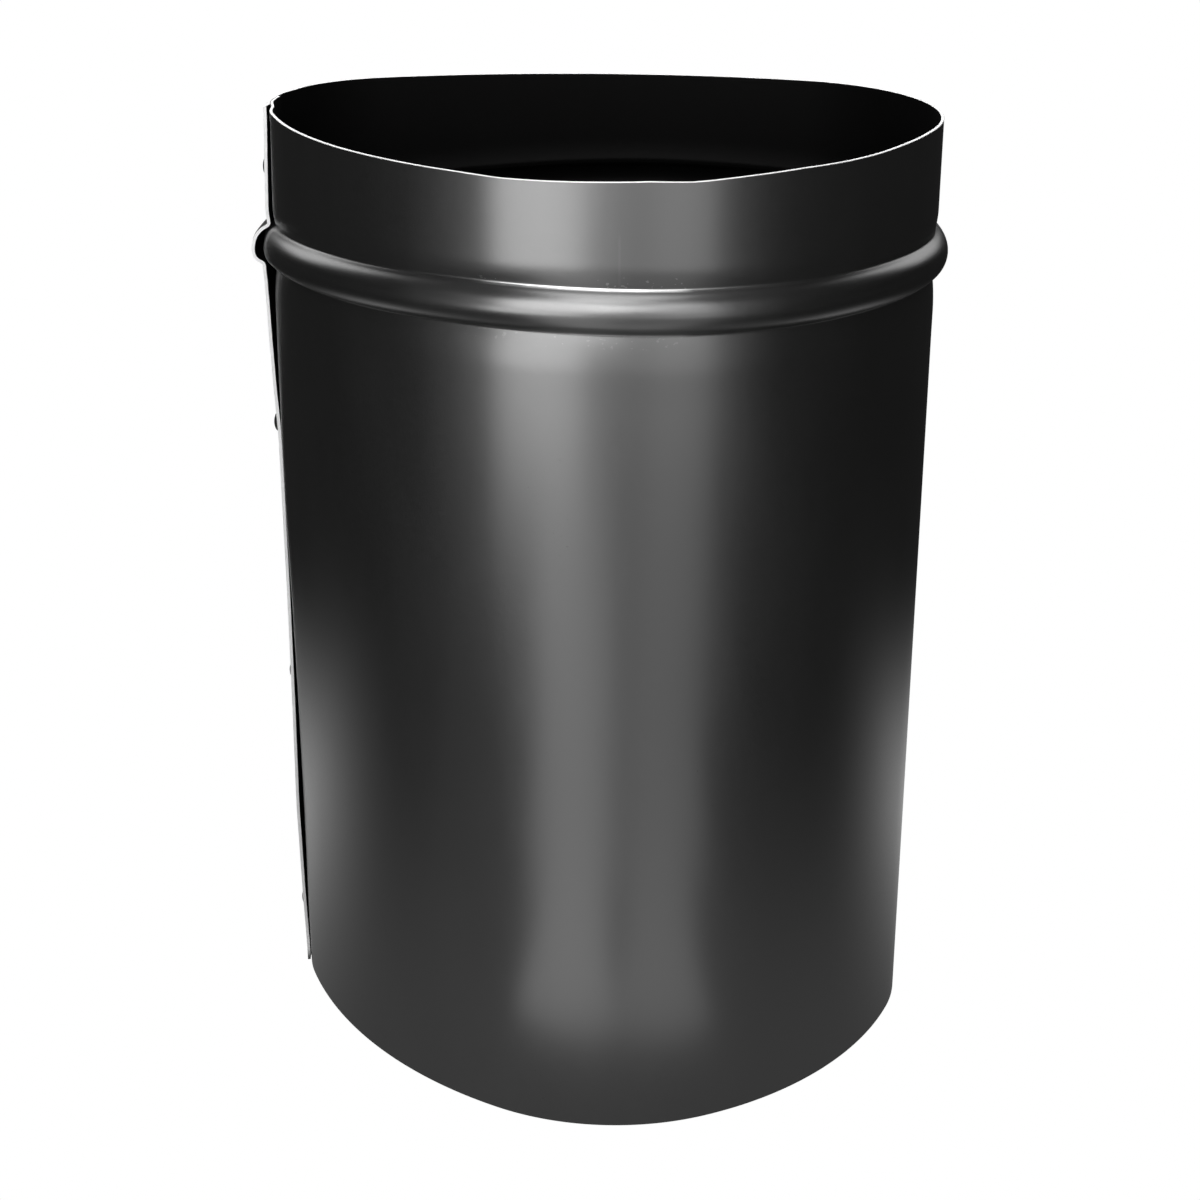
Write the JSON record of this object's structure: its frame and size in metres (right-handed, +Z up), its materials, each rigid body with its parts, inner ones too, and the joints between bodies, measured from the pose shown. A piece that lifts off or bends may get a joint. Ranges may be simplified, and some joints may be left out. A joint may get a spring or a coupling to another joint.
{
  "type": "stove pipe",
  "caption": "Section of black steel stove pipe with a rounded three-cornered section, a rolled bead below its plain spigot end and a riveted lap seam.",
  "frame": {"origin": "centre of the bounding box at the lower edge, on the surface the pipe stands on", "axes": "+Z up the pipe towards the spigot and its rim, +X to the right and +Y to the flat back side, with the lap seam at -X"},
  "size_m": [0.1772, 0.1299, 0.25],
  "materials": {
    "shell_steel": "satin black stove paint, bare at the cut edges",
    "rivet_steel": "satin black stove paint, a little worn on the domes"
  },
  "bodies": {
    "root": {"pipe_shell": "shell_steel", "seam_rivets": "rivet_steel"}
  },
  "joints": []
}
